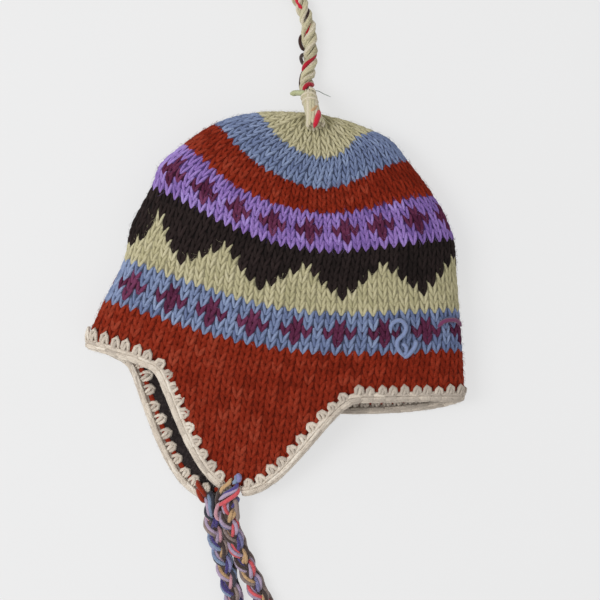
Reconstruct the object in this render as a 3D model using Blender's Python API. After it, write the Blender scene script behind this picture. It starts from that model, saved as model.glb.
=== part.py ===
"""A hand-knitted chullo hat with ear flaps and braids, lying flat on a table.

The hat is modelled in its own frame first: u runs along the rim from the left
fold to the right one, v runs from the rim to the gathered top, and z is the
height above the table. The near layer is on top, the far layer lies on the
table, and both are one knitted wall that is folded at the left and right.
The frame is then turned by LEAN, so that +Y is up in a view from above.
"""
import math

import bpy
import bmesh
from mathutils import Vector

# The hat's main sizes, in metres
RIM_WIDTH = 0.274        # rim, from fold to fold
CROWN_DEPTH = 0.179      # rim to gathered top
LOFT = 0.045             # height of the lying hat at its fullest
FOLD_HEIGHT = 0.016      # height of the side folds' outermost line
LEAN = math.radians(-8.0)
CENTRE_RISE = 0.456      # share of CROWN_DEPTH at which the origin lies

# Walls
KNIT_WALL = 0.0045
LINING_WALL = 0.002
LINING_GAP = 0.0006
GAP = 0.0003             # between other pieces that touch

# Ear flaps
FLAP_DROP = 0.075
FLAP_WIDTH = 0.1335
FLAP_LEFT_SHARE = 0.472  # share of the flap's width left of its tip
FLAP_BLEND = 0.12        # how softly its sides run into the rim
FLAP_REACH = 1.3         # where that blend ends, in half widths of the flap
LEFT_SIDE_POWER = 1.0    # how full the flap's sides are
RIGHT_SIDE_POWER = 1.5
DROOP_POWER = 1.2
FLAP_DROOP = 0.018       # how far the near flap's tip sinks below its rim
NEAR_FLAP_CENTRE = -0.054  # share of RIM_WIDTH
FAR_FLAP_CENTRE = -0.134   # share of RIM_WIDTH

# Crocheted edge
EDGING_RADIUS = (KNIT_WALL + LINING_GAP + LINING_WALL) / 2
EDGING_GAP = 0.0005

# Cord and braids
CORD_RADIUS = 0.0053
BASE_RADIUS = 0.0062
BASE_LENGTH = 0.029
BASE_SEAT_ROW = 35.8     # row of the near layer that the cord's foot sits on
BASE_GAP = 0.0006        # from the knitting, which curves away under the foot
# The foot's line from its seat, as shares of BASE_LENGTH
BASE_NAMES = ("along", "to_left", "sink")
BASE_LINE = ((0.0, 0.0, 0.0), (0.45, 0.10, 0.07), (0.90, 0.20, 0.28))
BRAID_RADIUS = 0.0058
KNOT_RADIUS = 0.0078
BRUSH_LENGTH = 0.020

STITCHES_ROUND = 72
QUARTER_STEPS = 40       # fine steps along a quarter of a course
FIRST_BAND_ROW = 5
TOP_ROW = 38
FLAP_STEPS = 4           # rows of faces from the lower edge to the first band
GATHER_ROW = 23          # from here the hat's surface turns toward its top
CROWN_GRID_ROWS = (5, 10, 14.5, 19, 23, 27, 30, 33, 35.5, 37)

# One line for each knitted course that shapes the hat. Middle and half_width
# are shares of RIM_WIDTH. Rise, tilt and both sags are shares of CROWN_DEPTH,
# top of LOFT, fold and floor of FOLD_HEIGHT. Square is how boxy the top is.
COURSE_NAMES = ("row", "middle", "half_width", "rise", "tilt", "near_sag",
                "far_sag", "top", "fold", "floor", "square")
COURSES = (
    (0.0, 0.000, 0.500, 0.000, 0.000, 0.081, 0.135, 0.80, 1.00, 0.00, 3.4),
    (5.0, 0.005, 0.475, 0.161, 0.000, 0.091, 0.118, 0.93, 1.00, 0.00, 3.4),
    (10.0, 0.012, 0.445, 0.327, -0.015, 0.098, 0.112, 1.00, 1.00, 0.00, 3.3),
    (14.0, 0.005, 0.432, 0.465, -0.009, 0.121, 0.125, 1.00, 1.00, 0.00, 3.2),
    (18.0, 0.014, 0.403, 0.617, -0.038, 0.145, 0.135, 1.00, 1.00, 0.00, 3.0),
    (20.5, 0.006, 0.382, 0.706, -0.043, 0.158, 0.140, 0.98, 1.00, 0.00, 2.9),
    (23.0, 0.014, 0.335, 0.791, -0.067, 0.172, 0.140, 0.95, 1.00, 0.00, 2.8),
    (27.0, 0.021, 0.270, 0.886, -0.072, 0.169, 0.125, 0.87, 1.00, 0.00, 2.6),
    (32.0, 0.034, 0.176, 0.978, -0.030, 0.135, 0.090, 0.68, 0.96, 0.04, 2.3),
    (35.0, 0.022, 0.108, 1.004, -0.010, 0.082, 0.050, 0.61, 0.94, 0.12, 2.1),
    (37.0, 0.014, 0.056, 1.016, 0.000, 0.032, 0.020, 0.52, 0.94, 0.32, 2.0),
    (38.0, 0.011, 0.000, 1.024, 0.000, 0.000, 0.000, 0.33, 0.94, 0.94, 2.0),
)
NEAR_SAG_POWER = 1.3
FAR_SAG_POWER = 0.65       # right half of the far layer
FAR_LEFT_SAG_POWER = 1.2

# Routes of the cord and the braids, points in metres that were chosen along
# them. Each starts where its seat is worked out, so that point isn't listed.
TOP_CORD_ROUTE = (
    (0.0115, 0.1265, 0.0075), (0.0135, 0.1400, 0.0056), (0.0134, 0.1500, 0.0054),
    (0.0127, 0.1620, 0.0054), (0.0082, 0.1762, 0.0054), (0.0030, 0.1880, 0.0054),
)
NEAR_BRAID_ROUTE = (
    (-0.0462, -0.1889, 0.0140), (-0.0422, -0.2036, 0.0108),
    (-0.0366, -0.2185, 0.0080), (-0.0302, -0.2334, 0.0064),
    (-0.0222, -0.2500, 0.0060), (-0.0180, -0.2590, 0.0060),
)
FAR_BRAID_ROUTE = (
    (-0.0575, -0.1936, 0.0060), (-0.0529, -0.2117, 0.0060),
    (-0.0486, -0.2261, 0.0060), (-0.0449, -0.2406, 0.0060),
    (-0.0420, -0.2514, 0.0060), (-0.0404, -0.2590, 0.0060),
)


def clear_scene():
    for item in list(bpy.data.objects):
        bpy.data.objects.remove(item, do_unlink=True)


def make_material(name, colour, roughness):
    material = bpy.data.materials.new(name)
    material.use_nodes = True
    shader = material.node_tree.nodes["Principled BSDF"]
    shader.inputs["Base Color"].default_value = (*colour, 1.0)
    shader.inputs["Roughness"].default_value = roughness
    shader.inputs["Metallic"].default_value = 0.0
    return material


def to_world(u, v, z):
    """Place a point of the hat's own frame on the table."""
    rise = v - CENTRE_RISE * CROWN_DEPTH
    x = u * math.cos(LEAN) - rise * math.sin(LEAN)
    y = u * math.sin(LEAN) + rise * math.cos(LEAN)
    return Vector((x, y, z))


def hat_up():
    """The direction on the table from the rim to the gathered top."""
    return (to_world(0.0, 1.0, 0.0) - to_world(0.0, 0.0, 0.0)).normalized()


def smooth_value(places, values, at):
    """Read a smooth curve through a table's values, with no overshoot."""
    if at <= places[0]:
        return values[0]
    if at >= places[-1]:
        return values[-1]
    slopes = [(values[i + 1] - values[i]) / (places[i + 1] - places[i])
              for i in range(len(places) - 1)]
    tangents = [slopes[0]]
    for before, after in zip(slopes, slopes[1:]):
        same_way = before * after > 0
        tangents.append(2 * before * after / (before + after) if same_way else 0.0)
    tangents.append(slopes[-1])
    i = max(k for k in range(len(slopes)) if places[k] <= at)
    step = places[i + 1] - places[i]
    t = (at - places[i]) / step
    return ((2 * t ** 3 - 3 * t ** 2 + 1) * values[i]
            + (t ** 3 - 2 * t ** 2 + t) * step * tangents[i]
            + (3 * t ** 2 - 2 * t ** 3) * values[i + 1]
            + (t ** 3 - t ** 2) * step * tangents[i + 1])


def course_sizes(row, inset):
    """The sizes in metres of the course at a row, for a surface that lies an
    inset inside the hat's outer one."""
    places = [line[0] for line in COURSES]
    share = {name: smooth_value(places, [line[k] for line in COURSES], row)
             for k, name in enumerate(COURSE_NAMES)}
    gather = min(max((row - GATHER_ROW) / (TOP_ROW - GATHER_ROW), 0.0), 1.0)
    width = share["half_width"] * RIM_WIDTH
    return {
        "middle": share["middle"] * RIM_WIDTH,
        "half_width": width - inset,
        "corner": min(FOLD_HEIGHT, width) - inset,
        "rise": share["rise"] * CROWN_DEPTH - inset * gather ** 2 * (3 - 2 * gather),
        "tilt": share["tilt"] * CROWN_DEPTH,
        "near_sag": share["near_sag"] * CROWN_DEPTH,
        "far_sag": share["far_sag"] * CROWN_DEPTH,
        "top": share["top"] * LOFT - inset,
        "fold": share["fold"] * FOLD_HEIGHT,
        "floor": share["floor"] * FOLD_HEIGHT + inset,
        "square": share["square"],
    }


def quarter_points(size, near):
    """A quarter of the course's cross-section, from its middle to its fold."""
    steps = QUARTER_STEPS
    half, corner = size["half_width"], size["corner"]
    points = []
    if not near:
        points = [((half - corner) * k / steps, size["floor"]) for k in range(steps)]
    for k in range(steps + 1):
        angle = 0.5 * math.pi * k / steps
        if near:
            across = half * math.sin(angle) ** (2 / size["square"])
            height = size["fold"] + (size["top"] - size["fold"]) * math.cos(angle)
        else:
            across = half - corner + corner * math.sin(angle)
            height = size["fold"] - (size["fold"] - size["floor"]) * math.cos(angle)
        points.append((across, height))
    return points


def fine_course(row, inset):
    """One course as a fine closed line, from the far layer's middle, to the
    left fold, over the near layer and back from the right fold."""
    size = course_sizes(row, inset)
    far = [(across, z, "far_sag") for across, z in quarter_points(size, near=False)]
    near = [(across, z, "near_sag") for across, z in quarter_points(size, near=True)]
    around = [(-across, z, sag) for across, z, sag in far + near[-2::-1]]
    around += near[1:] + far[-2::-1]
    line = []
    for across, height, sag in around:
        share = min(max(0.5 + 0.5 * across / size["half_width"], 0.0), 1.0)
        power = FAR_LEFT_SAG_POWER if share < 0.5 else FAR_SAG_POWER
        if sag == "near_sag":
            power = NEAR_SAG_POWER
        drop = size[sag] * math.sin(math.pi * share) ** power
        lean = size["tilt"] * (share - 0.5)
        line.append(Vector((size["middle"] + across, size["rise"] + lean - drop, height)))
    return line


def course_points(row, inset):
    """The course's stitches: even steps along the outer surface's line, read
    at the same places of the line at the inset."""
    outer = fine_course(row, 0.0)
    line = fine_course(row, inset)
    lengths = [0.0]
    for a, b in zip(outer, outer[1:]):
        lengths.append(lengths[-1] + (b - a).length)
    points = []
    k = 0
    for i in range(STITCHES_ROUND):
        along = lengths[-1] * i / STITCHES_ROUND
        while lengths[k + 1] <= along:
            k += 1
        t = (along - lengths[k]) / (lengths[k + 1] - lengths[k])
        points.append(line[k].lerp(line[k + 1], t))
    return points


def is_near(column):
    return STITCHES_ROUND / 4 < column < 3 * STITCHES_ROUND / 4


def flap_depth(column, u):
    """How far the flap hangs below the rim at a column."""
    centre = (NEAR_FLAP_CENTRE if is_near(column) else FAR_FLAP_CENTRE) * RIM_WIDTH
    on_left = u < centre
    share = FLAP_LEFT_SHARE if on_left else 1 - FLAP_LEFT_SHARE
    away = abs(u - centre) / (share * FLAP_WIDTH)
    if away >= FLAP_REACH:
        return 0.0
    side = math.cos(0.5 * math.pi * away)
    rounded = 0.5 * (side + math.hypot(side, FLAP_BLEND))
    return FLAP_DROP * rounded ** (LEFT_SIDE_POWER if on_left else RIGHT_SIDE_POWER)


def below_rim(column, rim_point, depth):
    """A point of a flap, straight down from its rim point."""
    droop = FLAP_DROOP * (depth / FLAP_DROP) ** DROOP_POWER if is_near(column) else 0.0
    return Vector((rim_point.x, rim_point.y - depth, rim_point.z - droop))


def surface_rings(inset):
    """A surface of the hat as rings of points, from its lower edge upward."""
    rim = course_points(0, inset)
    depths = [flap_depth(column, point.x) for column, point in enumerate(rim)]
    band_length = CROWN_DEPTH * FIRST_BAND_ROW / TOP_ROW
    rings = []
    for step in range(FLAP_STEPS):
        ring = []
        for column, (point, depth) in enumerate(zip(rim, depths)):
            along = (depth + band_length) * step / FLAP_STEPS
            if along <= depth:
                ring.append(below_rim(column, point, depth - along))
            else:
                row = FIRST_BAND_ROW * (along - depth) / band_length
                ring.append(course_points(row, inset)[column])
        rings.append(ring)
    rings += [course_points(row, inset) for row in CROWN_GRID_ROWS]
    return [[to_world(*point) for point in ring] for ring in rings]


def apex_point(inset):
    size = course_sizes(TOP_ROW, inset)
    return to_world(size["middle"], size["rise"], size["fold"])


def new_object(name, data, material, group):
    item = bpy.data.objects.new(name, data)
    data.materials.append(material)
    group.objects.link(item)
    return item


def add_surface(form, inset):
    """Add one surface of the hat in triangles and give back its lower edge."""
    rings = [[form.verts.new(point) for point in ring] for ring in surface_rings(inset)]
    apex = form.verts.new(apex_point(inset))
    for lower, upper in zip(rings, rings[1:]):
        for i in range(STITCHES_ROUND):
            j = (i + 1) % STITCHES_ROUND
            form.faces.new((lower[i], lower[j], upper[i]))
            form.faces.new((upper[i], lower[j], upper[j]))
    for i in range(STITCHES_ROUND):
        form.faces.new((rings[-1][i], rings[-1][(i + 1) % STITCHES_ROUND], apex))
    return rings[0]


def make_wall(name, inset, thickness, material, group):
    """A hollow wall of the hat, lofted course by course. Its outer face lies
    an inset inside the hat's own, and its lower edge is open."""
    form = bmesh.new()
    inner = add_surface(form, inset + thickness)
    bmesh.ops.reverse_faces(form, faces=form.faces)
    outer = add_surface(form, inset)
    for i in range(STITCHES_ROUND):
        j = (i + 1) % STITCHES_ROUND
        form.faces.new((outer[i], inner[i], outer[j]))
        form.faces.new((inner[i], inner[j], outer[j]))
    mesh = bpy.data.meshes.new(name)
    form.to_mesh(mesh)
    form.free()
    return new_object(name, mesh, material, group)


def edging_route():
    """The crocheted edge's centre line, just outside both walls' lower edge."""
    outer = surface_rings(0.0)
    inner = surface_rings(2 * EDGING_RADIUS)
    count = STITCHES_ROUND
    middles = [(a + b) / 2 for a, b in zip(outer[0], inner[0])]
    outs = []
    for i in range(count):
        along = middles[(i + 1) % count] - middles[i - 1]
        through = inner[0][i] - outer[0][i]
        out = along.cross(through).normalized()
        if out.dot(outer[1][i] - outer[0][i]) > 0:
            out.negate()
        outs.append(out)
    route = []
    for i in range(count):
        along = (middles[(i + 1) % count] - middles[i]).normalized()
        square_out = outs[i] - along * outs[i].dot(along)
        mitre = 1 / max(square_out.length, 0.7)
        route.append(middles[i] + outs[i] * (EDGING_RADIUS + EDGING_GAP) * mitre)
    return route


def make_tube(name, points, radii, material, group, closed=False):
    """A round bar along a route, with one radius for each point."""
    data = bpy.data.curves.new(name, "CURVE")
    data.dimensions = "3D"
    data.bevel_depth = 1.0
    data.bevel_resolution = 2
    data.use_fill_caps = not closed
    spline = data.splines.new("POLY")
    spline.points.add(len(points) - 1)
    for place, point, radius in zip(spline.points, points, radii):
        place.co = (*point, 1.0)
        place.radius = radius
    spline.use_cyclic_u = closed
    return new_object(name, data, material, group)


def smooth_route(chosen, spacing):
    """Points at even spacing along a smooth curve through chosen points."""
    ends = [2 * chosen[0] - chosen[1]] + list(chosen) + [2 * chosen[-1] - chosen[-2]]
    fine = []
    steps = 30
    for a, b, c, d in zip(ends, ends[1:], ends[2:], ends[3:]):
        for k in range(steps):
            t = k / steps
            fine.append(0.5 * (2 * b + (c - a) * t
                               + (2 * a - 5 * b + 4 * c - d) * t ** 2
                               + (3 * b - a - 3 * c + d) * t ** 3))
    fine.append(Vector(chosen[-1]))
    total = sum((q - p).length for p, q in zip(fine, fine[1:]))
    count = max(2, round(total / spacing))
    route = []
    walked = 0.0
    k = 0
    for i in range(count):
        target = total * i / count
        while walked + (fine[k + 1] - fine[k]).length < target:
            walked += (fine[k + 1] - fine[k]).length
            k += 1
        t = (target - walked) / (fine[k + 1] - fine[k]).length
        route.append(fine[k].lerp(fine[k + 1], t))
    route.append(fine[-1])
    return route


def make_cord(name, start, points, radius, material, group):
    """A cord from its seat, along a smooth curve through its chosen points."""
    route = [start] + smooth_route([Vector(point) for point in points], 2.2 * radius)
    return make_tube(name, route, [radius] * len(route), material, group)


# Sections of an end knot with its short brush: along is a share of the knot
# and brush together, radius of KNOT_RADIUS, and locks how deep its locks are.
KNOT_NAMES = ("along", "radius", "locks")
KNOT_SECTIONS = (
    (0.00, 0.55, 0.00), (0.10, 0.92, 0.04), (0.24, 1.00, 0.05),
    (0.38, 0.78, 0.03), (0.46, 0.56, 0.08), (0.62, 0.72, 0.22),
    (0.82, 0.90, 0.30), (1.00, 0.80, 0.34),
)
KNOT_LOCKS = 8


def make_knot(name, end, heading, material, group):
    """An overhand knot and the short brush of yarn that it leaves."""
    heading = Vector((heading.x, heading.y, 0.0)).normalized()
    side = Vector((-heading.y, heading.x, 0.0))
    up = Vector((0.0, 0.0, 1.0))
    length = 2 * KNOT_RADIUS + BRUSH_LENGTH
    start = end + heading * GAP
    sides = 2 * KNOT_LOCKS
    form = bmesh.new()
    rings = []
    for line in KNOT_SECTIONS:
        section = dict(zip(KNOT_NAMES, line))
        settle = min(1.0, section["along"] * 4)
        middle = start + heading * section["along"] * length
        middle.z = max(end.z + (KNOT_RADIUS - end.z) * settle, section["radius"] * KNOT_RADIUS)
        ring = []
        for k in range(sides):
            angle = 2 * math.pi * k / sides
            lock = 1 - section["locks"] * (k % 2)
            radius = section["radius"] * KNOT_RADIUS * lock
            ring.append(form.verts.new(middle + side * radius * math.cos(angle)
                                       + up * radius * math.sin(angle)))
        rings.append(ring)
    for lower, upper in zip(rings, rings[1:]):
        for i in range(sides):
            j = (i + 1) % sides
            form.faces.new((lower[i], lower[j], upper[j], upper[i]))
    form.faces.new(list(reversed(rings[0])))
    form.faces.new(rings[-1])
    bmesh.ops.recalc_face_normals(form, faces=form.faces)
    bmesh.ops.triangulate(form, faces=form.faces)
    mesh = bpy.data.meshes.new(name)
    form.to_mesh(mesh)
    form.free()
    return new_object(name, mesh, material, group)


def near_point(row, columns_off_middle):
    """A point of the near layer, some columns beside its middle one."""
    return to_world(*course_points(row, 0.0)[STITCHES_ROUND // 2 + columns_off_middle])


def base_route():
    """The wrapped foot of the cord: it is seated on the near layer beside the
    gathered top and runs on over the hat's upper edge."""
    seat = near_point(BASE_SEAT_ROW, 0)
    upward = (near_point(BASE_SEAT_ROW + 0.5, 0) - seat).normalized()
    across = (near_point(BASE_SEAT_ROW, 1) - near_point(BASE_SEAT_ROW, -1)).normalized()
    normal = across.cross(upward).normalized()
    start = seat + normal * (BASE_RADIUS + BASE_GAP)
    route = []
    for line in BASE_LINE:
        share = dict(zip(BASE_NAMES, line))
        point = start + upward * share["along"] * BASE_LENGTH
        point -= across * share["to_left"] * BASE_LENGTH
        point.z -= share["sink"] * BASE_LENGTH
        route.append(point)
    return route


def build():
    clear_scene()
    group = bpy.data.collections.new("chullo_hat")
    bpy.context.scene.collection.children.link(group)
    wool = make_material("rust_wool", (0.19, 0.022, 0.010), 0.95)
    fleece = make_material("charcoal_fleece", (0.018, 0.016, 0.015), 1.0)
    cream = make_material("cream_wool", (0.52, 0.45, 0.38), 0.95)
    khaki = make_material("khaki_wool", (0.42, 0.38, 0.26), 0.95)
    mixed = make_material("mixed_wool", (0.22, 0.20, 0.36), 0.95)

    make_wall("knit_shell", 0.0, KNIT_WALL, wool, group)
    make_wall("fleece_lining", KNIT_WALL + LINING_GAP, LINING_WALL, fleece, group)

    edge = edging_route()
    make_tube("crochet_edging", edge, [EDGING_RADIUS] * len(edge), cream, group, closed=True)

    base = smooth_route(base_route(), 0.004)
    shrink = (BASE_RADIUS - CORD_RADIUS) / (len(base) - 1)
    radii = [BASE_RADIUS - shrink * i for i in range(len(base))]
    make_tube("top_cord_base", base, radii, khaki, group)
    heading = (base[-1] - base[-2]).normalized()
    start = base[-1] + heading * GAP
    lead = start + heading * CORD_RADIUS
    make_cord("top_cord", start, [lead, *TOP_CORD_ROUTE], CORD_RADIUS, khaki, group)

    for name, near, route in (("near", True, NEAR_BRAID_ROUTE), ("far", False, FAR_BRAID_ROUTE)):
        columns = [i for i in range(STITCHES_ROUND) if is_near(i) == near]
        tip = min(columns, key=lambda i: edge[i].dot(hat_up()))
        toward = (Vector(route[0]) - edge[tip]).normalized()
        start = edge[tip] + toward * (EDGING_RADIUS + GAP)
        start.z = max(start.z, BRAID_RADIUS + GAP)
        lead = start + toward * BRAID_RADIUS
        make_cord(name + "_flap_braid", start, [lead, *route], BRAID_RADIUS, mixed, group)
        last, before = Vector(route[-1]), Vector(route[-2])
        make_knot(name + "_braid_knot", last, last - before, mixed, group)
    last, before = Vector(TOP_CORD_ROUTE[-1]), Vector(TOP_CORD_ROUTE[-2])
    make_knot("top_cord_knot", last, last - before, khaki, group)


build()
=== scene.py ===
import math
import bpy
import numpy as np
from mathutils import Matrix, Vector


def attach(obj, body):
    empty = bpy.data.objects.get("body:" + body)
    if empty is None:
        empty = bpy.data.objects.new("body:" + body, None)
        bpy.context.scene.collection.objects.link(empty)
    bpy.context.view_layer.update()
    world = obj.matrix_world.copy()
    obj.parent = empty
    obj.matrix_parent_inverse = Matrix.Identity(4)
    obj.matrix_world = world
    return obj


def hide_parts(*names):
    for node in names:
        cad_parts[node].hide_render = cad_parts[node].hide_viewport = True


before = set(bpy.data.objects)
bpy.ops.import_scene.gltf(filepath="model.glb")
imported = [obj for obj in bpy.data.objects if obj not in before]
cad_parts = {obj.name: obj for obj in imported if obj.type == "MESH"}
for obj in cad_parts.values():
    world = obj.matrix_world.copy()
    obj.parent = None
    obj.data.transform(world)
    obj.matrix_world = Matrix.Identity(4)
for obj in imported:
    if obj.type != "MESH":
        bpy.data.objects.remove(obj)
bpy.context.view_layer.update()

bpy.ops.object.select_all(action="DESELECT")
chance = np.random.default_rng(7)

# The camera looks straight down, as in the photo, and a pixel is 0.7 mm at the hat
cameraView = {"place": (0.006, -0.0344, 1.1), "lens": 90.7, "sensor": 36.0,
              "middle": 300, "pixel": 0.0007, "pixelDepth": 1.058}
cameraData = bpy.data.cameras.new("camera")
cameraData.lens = cameraView["lens"]
cameraData.sensor_width = cameraView["sensor"]
camera = bpy.data.objects.new("camera", cameraData)
camera.location = cameraView["place"]
bpy.context.scene.collection.objects.link(camera)
bpy.context.scene.camera = camera
bpy.context.scene.view_settings.view_transform = "Standard"


def hexColour(code):
    parts = [int(code[i:i + 2], 16) / 255 for i in (1, 3, 5)]
    return tuple(p / 12.92 if p <= 0.04045 else ((p + 0.055) / 1.055) ** 2.4 for p in parts)


def fillInputs(tree, node, inputs):
    for name, value in inputs.items():
        if isinstance(value, bpy.types.NodeSocket):
            tree.links.new(value, node.inputs[name])
        else:
            node.inputs[name].default_value = value


def addNode(tree, kind, inputs=None, **settings):
    node = tree.nodes.new(kind)
    for name, value in settings.items():
        setattr(node, name, value)
    fillInputs(tree, node, inputs or {})
    return node


# Wool yarn: matt, with a halo of fine hairs that catches light at grazing angles
woolFinish = {
    "roughness": 0.92, "specular": 0.12, "sheenRoughness": 0.45,
    "fleck": 0.0011,      # metres, mixed hairs along the yarn
    "patch": 0.016,       # metres, slow change of the dye
    "patchShare": 0.24, "toneReach": 0.28,
    "plyPitch": 0.0042,   # metres of yarn for one turn of its plies
    "plies": 3, "plyDepth": 0.25,
    "hair": 0.0005,       # metres, drawn coarser than a real hair so that it shows
    "bumpStrength": 0.75, "bumpDistance": 0.0006,
}


def woolMaterial(name, base, dark, light, contrast=0.62, ply=0.5, tinted=False, sheen=0.30):
    material = bpy.data.materials.new(name)
    material.use_nodes = True
    tree = material.node_tree
    place = addNode(tree, "ShaderNodeTexCoord").outputs["Object"]
    fleck, patch, hair = (addNode(tree, "ShaderNodeTexNoise", {
        "Vector": place, "Scale": 1 / woolFinish[size], "Detail": detail}).outputs[0]
        for size, detail in (("fleck", 2.0), ("patch", 1.0), ("hair", 2.0)))
    tone = addNode(tree, "ShaderNodeAttribute", attribute_name="shade").outputs["Fac"]
    for noise, share in ((fleck, contrast), (patch, woolFinish["patchShare"])):
        tone = addNode(tree, "ShaderNodeMath", {0: noise, 1: share, 2: tone},
                       operation="MULTIPLY_ADD").outputs[0]
    tones = addNode(tree, "ShaderNodeValToRGB", {"Fac": tone})
    ramp, reach = tones.color_ramp, woolFinish["toneReach"]
    middle = 0.5 * (contrast + woolFinish["patchShare"])
    ramp.elements[0].position, ramp.elements[1].position = middle - reach, middle + reach
    ramp.elements[0].color = (*hexColour(dark), 1)
    ramp.elements[1].color = (*hexColour(light), 1)
    ramp.elements.new(middle).color = (*hexColour(base), 1)
    colour = tones.outputs["Color"]
    if tinted:
        tint = addNode(tree, "ShaderNodeAttribute", attribute_name="tint").outputs["Color"]
        colour = addNode(tree, "ShaderNodeMix", {"Factor": 1.0, "A": colour, "B": tint},
                         data_type="RGBA", blend_type="MULTIPLY").outputs["Result"]
    along = addNode(tree, "ShaderNodeUVMap", uv_map="yarn").outputs[0]
    twist = (2 * math.pi / woolFinish["plyPitch"], 2 * math.pi * woolFinish["plies"], 0.0)
    spiral = addNode(tree, "ShaderNodeVectorMath", {0: along, 1: twist},
                     operation="DOT_PRODUCT").outputs["Value"]
    plies = addNode(tree, "ShaderNodeMath", {0: spiral}, operation="SINE").outputs[0]
    relief = addNode(tree, "ShaderNodeMath", {0: plies, 1: woolFinish["plyDepth"] * ply, 2: hair},
                     operation="MULTIPLY_ADD")
    bump = addNode(tree, "ShaderNodeBump", {
        "Strength": woolFinish["bumpStrength"], "Distance": woolFinish["bumpDistance"],
        "Height": relief.outputs[0]})
    fillInputs(tree, tree.nodes["Principled BSDF"], {
        "Base Color": colour, "Normal": bump.outputs[0], "Roughness": woolFinish["roughness"],
        "Specular IOR Level": woolFinish["specular"], "Sheen Weight": sheen,
        "Sheen Roughness": woolFinish["sheenRoughness"], "Sheen Tint": (*hexColour(light), 1)})
    return material


# The hat's surface, with part.py's sizes in metres and shares
hat = {
    "rimWidth": 0.274, "crownDepth": 0.179, "loft": 0.045, "foldHeight": 0.016,
    "lean": math.radians(-8.0), "centreRise": 0.456, "stitchesRound": 72, "topRow": 38,
    "knitWall": 0.0045, "liningWall": 0.002, "liningGap": 0.0006,
    "flapDrop": 0.075, "flapWidth": 0.1335, "flapLeftShare": 0.472, "flapBlend": 0.12,
    "flapReach": 1.3, "leftPower": 1.0, "rightPower": 1.5, "droopPower": 1.2, "flapDroop": 0.018,
    "nearFlap": -0.054, "farFlap": -0.134, "nearColumns": (18, 54),
    "gatherRow": 23, "firstBand": 5, "flapRow": 0.0058,
    "nearSagPower": 1.3, "farSagPower": 0.65, "farLeftSagPower": 1.2,
    "courseSteps": 40,   # in a quarter of a course, as in part.py
}
# what each size of a course is a share of, in the order of the table's columns after the row
courseShares = {"middle": "rimWidth", "halfWidth": "rimWidth", "rise": "crownDepth",
                "tilt": "crownDepth", "nearSag": "crownDepth", "farSag": "crownDepth",
                "top": "loft", "fold": "foldHeight", "floor": "foldHeight", "square": None}
courses = (
    (0.0, 0.000, 0.500, 0.000, 0.000, 0.081, 0.135, 0.80, 1.00, 0.00, 3.4),
    (5.0, 0.005, 0.475, 0.161, 0.000, 0.091, 0.118, 0.93, 1.00, 0.00, 3.4),
    (10.0, 0.012, 0.445, 0.327, -0.015, 0.098, 0.112, 1.00, 1.00, 0.00, 3.3),
    (14.0, 0.005, 0.432, 0.465, -0.009, 0.121, 0.125, 1.00, 1.00, 0.00, 3.2),
    (18.0, 0.014, 0.403, 0.617, -0.038, 0.145, 0.135, 1.00, 1.00, 0.00, 3.0),
    (20.5, 0.006, 0.382, 0.706, -0.043, 0.158, 0.140, 0.98, 1.00, 0.00, 2.9),
    (23.0, 0.014, 0.335, 0.791, -0.067, 0.172, 0.140, 0.95, 1.00, 0.00, 2.8),
    (27.0, 0.021, 0.270, 0.886, -0.072, 0.169, 0.125, 0.87, 1.00, 0.00, 2.6),
    (32.0, 0.034, 0.176, 0.978, -0.030, 0.135, 0.090, 0.68, 0.96, 0.04, 2.3),
    (35.0, 0.022, 0.108, 1.004, -0.010, 0.082, 0.050, 0.61, 0.94, 0.12, 2.1),
    (37.0, 0.014, 0.056, 1.016, 0.000, 0.032, 0.020, 0.52, 0.94, 0.32, 2.0),
    (38.0, 0.011, 0.000, 1.024, 0.000, 0.000, 0.000, 0.33, 0.94, 0.94, 2.0),
)


def unit(vectors):
    lengths = np.linalg.norm(vectors, axis=-1, keepdims=True)
    return vectors / np.maximum(lengths, 1e-12)


def toWorld(points):
    u, rise = points[..., 0], points[..., 1] - hat["centreRise"] * hat["crownDepth"]
    cosine, sine = math.cos(hat["lean"]), math.sin(hat["lean"])
    return np.stack([u * cosine - rise * sine, u * sine + rise * cosine, points[..., 2]], axis=-1)


hatUp = np.array([-math.sin(hat["lean"]), math.cos(hat["lean"]), 0.0])


def travelAlong(line):
    steps = np.linalg.norm(np.diff(line, axis=0), axis=1)
    return np.concatenate([[0.0], np.cumsum(steps)])


def readLine(line, travel, at):
    return np.stack([np.interp(at, travel, line[:, k]) for k in range(3)], axis=-1)


def around(side, up, angle):
    return side * np.cos(angle) + up * np.sin(angle)


overhead = np.array([0.0, 0.0, 1.0])


def smoothValue(places, values, at):
    if at <= places[0]:
        return values[0]
    if at >= places[-1]:
        return values[-1]
    slopes = np.diff(values) / np.diff(places)
    tangents = [slopes[0]]
    for before, after in zip(slopes, slopes[1:]):
        tangents.append(2 * before * after / (before + after) if before * after > 0 else 0.0)
    tangents.append(slopes[-1])
    i = max(k for k in range(len(slopes)) if places[k] <= at)
    step = places[i + 1] - places[i]
    t = (at - places[i]) / step
    return ((2 * t ** 3 - 3 * t ** 2 + 1) * values[i] + (3 * t ** 2 - 2 * t ** 3) * values[i + 1]
            + (t ** 3 - 2 * t ** 2 + t) * step * tangents[i]
            + (t ** 3 - t ** 2) * step * tangents[i + 1])


def courseSizes(row, inset):
    table = np.array(courses)
    size = {name: hat.get(whole, 1.0) * smoothValue(table[:, 0], table[:, k + 1], row)
            for k, (name, whole) in enumerate(courseShares.items())}
    gather = (row - hat["gatherRow"]) / (hat["topRow"] - hat["gatherRow"])
    gather = min(max(gather, 0.0), 1.0)
    size["corner"] = min(hat["foldHeight"], size["halfWidth"]) - inset
    size["halfWidth"] -= inset
    size["rise"] -= inset * gather ** 2 * (3 - 2 * gather)
    size["top"] -= inset
    size["floor"] += inset
    return size


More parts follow.
